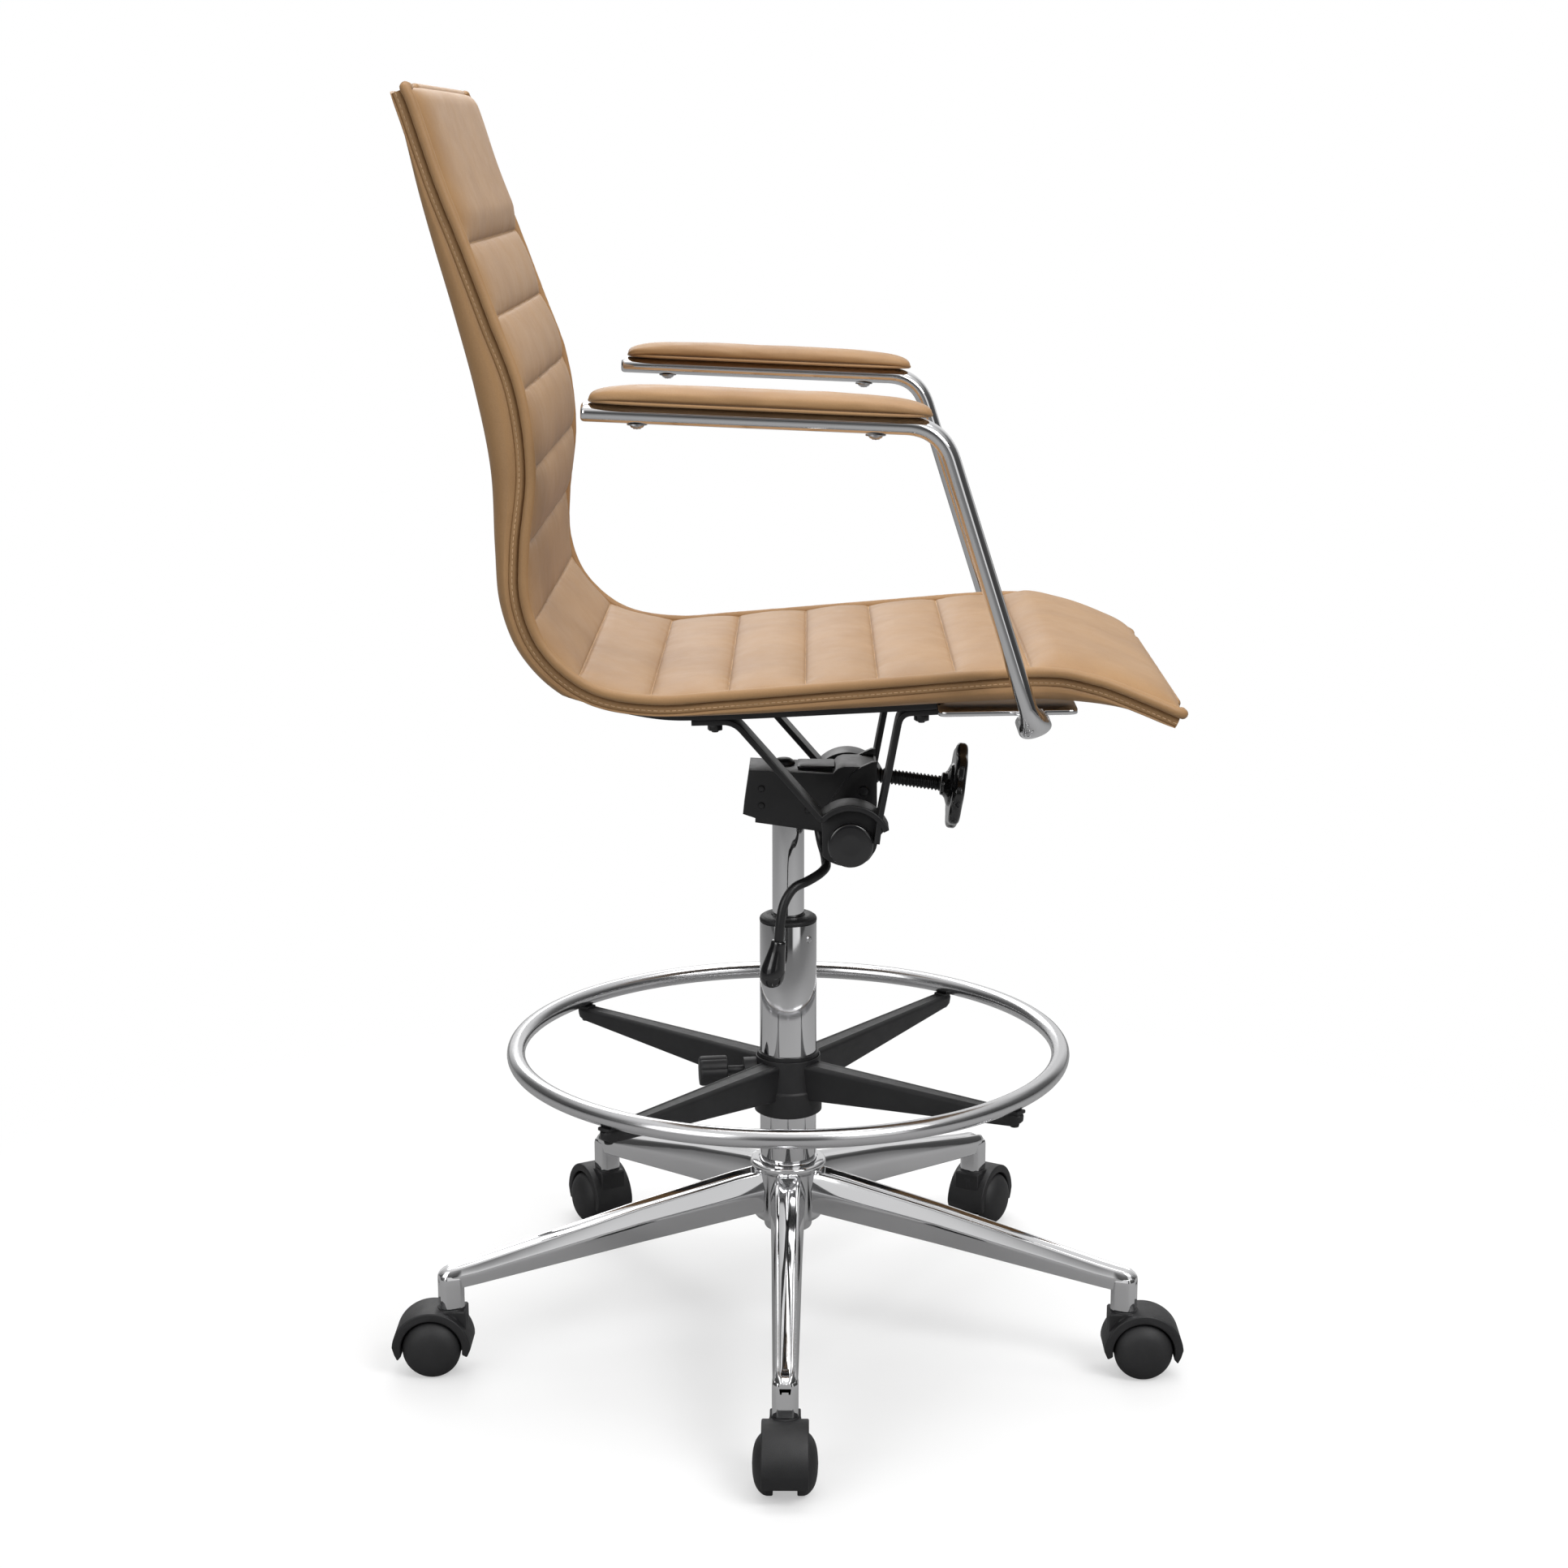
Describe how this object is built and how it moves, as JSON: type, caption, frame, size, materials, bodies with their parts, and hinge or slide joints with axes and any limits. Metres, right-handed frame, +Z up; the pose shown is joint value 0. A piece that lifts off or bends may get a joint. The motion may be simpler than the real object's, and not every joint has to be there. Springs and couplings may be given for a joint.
{
  "type": "adjustable swivel stool",
  "caption": "Height-adjustable swivel drafting stool with a ribbed one-piece leather seat and back, arm rests, foot ring and star base on twin-wheel casters.",
  "frame": {"origin": "middle of the footprint on the floor, where the casters rest", "axes": "+Z up, the sitter faces -Y, the height lever is on the -X side"},
  "size_m": [0.6622, 0.6882, 1.092],
  "materials": {
    "chrome_parts": "polished chrome plating",
    "steel_parts": "bright zinc-plated steel",
    "black_steel": "black powder coat, half gloss",
    "black_plastic": "black moulded nylon, fine grain",
    "tan_leather": "tan upholstery leather, soft sheen",
    "shell_board": "moulded plywood, unfinished inside the upholstery"
  },
  "bodies": {
    "base": {"star_base": "chrome_parts", "outer_tube": "chrome_parts", "guide_bush": "black_plastic"},
    "spindle": {"piston_rod": "steel_parts", "thrust_bearing": "steel_parts"},
    "carriage": {"pressure_tube": "chrome_parts", "column_socket": "steel_parts", "mechanism_housing": "black_steel", "tilt_spring": "steel_parts"},
    "seat": {"seat_cushion": "tan_leather", "seat_shell": "shell_board", "rear_cover": "tan_leather", "underseat_panel": "black_plastic", "arm_frame_left": "chrome_parts", "arm_frame_right": "chrome_parts", "arm_pad_left": "tan_leather", "arm_pad_right": "tan_leather", "seat_strap_left": "black_steel", "seat_strap_right": "black_steel", "pivot_tube": "black_steel", "pivot_cap_left": "black_plastic", "pivot_cap_right": "black_plastic", "strap_bolt_left_1": "black_steel", "strap_bolt_left_2": "black_steel", "strap_bolt_right_1": "black_steel", "strap_bolt_right_2": "black_steel", "arm_bolt_left_1": "black_steel", "arm_bolt_left_2": "black_steel", "arm_bolt_right_1": "black_steel", "arm_bolt_right_2": "black_steel"},
    "lever": {"height_lever": "black_steel", "lever_grip": "black_plastic"},
    "valve_pin": {"release_pin": "steel_parts"},
    "tension_handle": {"tension_screw": "black_steel", "tension_knob": "black_plastic"},
    "tension_slider": {"tension_nut": "steel_parts"},
    "ring_carrier": {"ring_liner": "black_plastic"},
    "ring_frame": {"foot_ring": "chrome_parts", "foot_ring_spider": "black_steel"},
    "clamp": {"clamp_knob": "black_plastic"},
    "caster_1": {"caster_1_stem": "steel_parts", "caster_1_hood": "black_plastic"},
    "caster_1_a": {"caster_1_wheel_a": "black_plastic"},
    "caster_1_b": {"caster_1_wheel_b": "black_plastic"},
    "caster_2": {"caster_2_stem": "steel_parts", "caster_2_hood": "black_plastic"},
    "caster_2_a": {"caster_2_wheel_a": "black_plastic"},
    "caster_2_b": {"caster_2_wheel_b": "black_plastic"},
    "caster_3": {"caster_3_stem": "steel_parts", "caster_3_hood": "black_plastic"},
    "caster_3_a": {"caster_3_wheel_a": "black_plastic"},
    "caster_3_b": {"caster_3_wheel_b": "black_plastic"},
    "caster_4": {"caster_4_stem": "steel_parts", "caster_4_hood": "black_plastic"},
    "caster_4_a": {"caster_4_wheel_a": "black_plastic"},
    "caster_4_b": {"caster_4_wheel_b": "black_plastic"},
    "caster_5": {"caster_5_stem": "steel_parts", "caster_5_hood": "black_plastic"},
    "caster_5_a": {"caster_5_wheel_a": "black_plastic"},
    "caster_5_b": {"caster_5_wheel_b": "black_plastic"}
  },
  "joints": [
    {"name": "seat_swivel", "type": "hinge", "parent": "base", "child": "spindle", "pos_m": [0.0283, 0, 0.117], "axis": [0, 0, 1], "continuous": true},
    {"name": "seat_height", "type": "slide", "parent": "spindle", "child": "carriage", "axis": [0, 0, 1], "range_m": [-0.06, 0.16]},
    {"name": "seat_tilt", "type": "hinge", "parent": "carriage", "child": "seat", "pos_m": [0.0283, -0.0527, 0.4803], "axis": [-1, 0, 0], "range_deg": [0, 14], "stiffness_Nm_per_rad": 90, "springref_deg": -28.65},
    {"name": "lever_lift", "type": "hinge", "parent": "carriage", "child": "lever", "pos_m": [0.0143, -0.0262, 0.5155], "axis": [0, 1, 0], "range_deg": [0, 4], "stiffness_Nm_per_rad": 2, "springref_deg": -5.73},
    {"name": "pin_press", "type": "slide", "parent": "carriage", "child": "valve_pin", "axis": [0, 0, 1], "range_m": [-0.0015, 0]},
    {"name": "tension_turn", "type": "hinge", "parent": "carriage", "child": "tension_handle", "pos_m": [0.0283, -0.0768, 0.5147], "axis": [0, -0.9907, -0.1357], "range_deg": [-1080, 180]},
    {"name": "nut_travel", "type": "slide", "parent": "carriage", "child": "tension_slider", "axis": [0, -0.9907, -0.1357], "range_m": [-0.0047, 0.0009]},
    {"name": "ring_height", "type": "slide", "parent": "base", "child": "ring_carrier", "axis": [0, 0, 1], "range_m": [-0.035, 0.1]},
    {"name": "ring_turn", "type": "hinge", "parent": "ring_carrier", "child": "ring_frame", "pos_m": [0.0283, 0, 0.235], "axis": [0, 0, 1], "continuous": true},
    {"name": "clamp_turn", "type": "hinge", "parent": "ring_frame", "child": "clamp", "pos_m": [0.0283, 0, 0.247], "axis": [-0.1219, 0.9925, 0], "range_deg": [-720, 0]},
    {"name": "caster_1_swivel", "type": "hinge", "parent": "base", "child": "caster_1", "pos_m": [-0.28, 0, 0.055], "axis": [0, 0, 1], "continuous": true},
    {"name": "caster_1_roll_a", "type": "hinge", "parent": "caster_1", "child": "caster_1_a", "pos_m": [-0.2966, 0, 0.0255], "axis": [0, -1, 0], "continuous": true},
    {"name": "caster_1_roll_b", "type": "hinge", "parent": "caster_1", "child": "caster_1_b", "pos_m": [-0.2966, 0, 0.0255], "axis": [0, -1, 0], "continuous": true},
    {"name": "caster_2_swivel", "type": "hinge", "parent": "base", "child": "caster_2", "pos_m": [-0.06697, -0.29321, 0.055], "axis": [0, 0, 1], "continuous": true},
    {"name": "caster_2_roll_a", "type": "hinge", "parent": "caster_2", "child": "caster_2_a", "pos_m": [-0.06697, -0.30981, 0.0255], "axis": [1, 0, 0], "continuous": true},
    {"name": "caster_2_roll_b", "type": "hinge", "parent": "caster_2", "child": "caster_2_b", "pos_m": [-0.06697, -0.30981, 0.0255], "axis": [1, 0, 0], "continuous": true},
    {"name": "caster_3_swivel", "type": "hinge", "parent": "base", "child": "caster_3", "pos_m": [0.27772, -0.18121, 0.055], "axis": [0, 0, 1], "continuous": true},
    {"name": "caster_3_roll_a", "type": "hinge", "parent": "caster_3", "child": "caster_3_a", "pos_m": [0.2921, -0.18951, 0.0255], "axis": [0.5, 0.866, 0], "continuous": true},
    {"name": "caster_3_roll_b", "type": "hinge", "parent": "caster_3", "child": "caster_3_b", "pos_m": [0.2921, -0.18951, 0.0255], "axis": [0.5, 0.866, 0], "continuous": true},
    {"name": "caster_4_swivel", "type": "hinge", "parent": "base", "child": "caster_4", "pos_m": [0.27772, 0.18121, 0.055], "axis": [0, 0, 1], "continuous": true},
    {"name": "caster_4_roll_a", "type": "hinge", "parent": "caster_4", "child": "caster_4_a", "pos_m": [0.2921, 0.18951, 0.0255], "axis": [-0.5, 0.866, 0], "continuous": true},
    {"name": "caster_4_roll_b", "type": "hinge", "parent": "caster_4", "child": "caster_4_b", "pos_m": [0.2921, 0.18951, 0.0255], "axis": [-0.5, 0.866, 0], "continuous": true},
    {"name": "caster_5_swivel", "type": "hinge", "parent": "base", "child": "caster_5", "pos_m": [-0.06697, 0.29321, 0.055], "axis": [0, 0, 1], "continuous": true},
    {"name": "caster_5_roll_a", "type": "hinge", "parent": "caster_5", "child": "caster_5_a", "pos_m": [-0.06697, 0.30981, 0.0255], "axis": [-1, 0, 0], "continuous": true},
    {"name": "caster_5_roll_b", "type": "hinge", "parent": "caster_5", "child": "caster_5_b", "pos_m": [-0.06697, 0.30981, 0.0255], "axis": [-1, 0, 0], "continuous": true}
  ],
  "couplings": [
    {"joint": "pin_press", "follows": "lever_lift", "m_per_rad": -0.014},
    {"joint": "nut_travel", "follows": "tension_turn", "m_per_rad": 0.00023873}
  ]
}
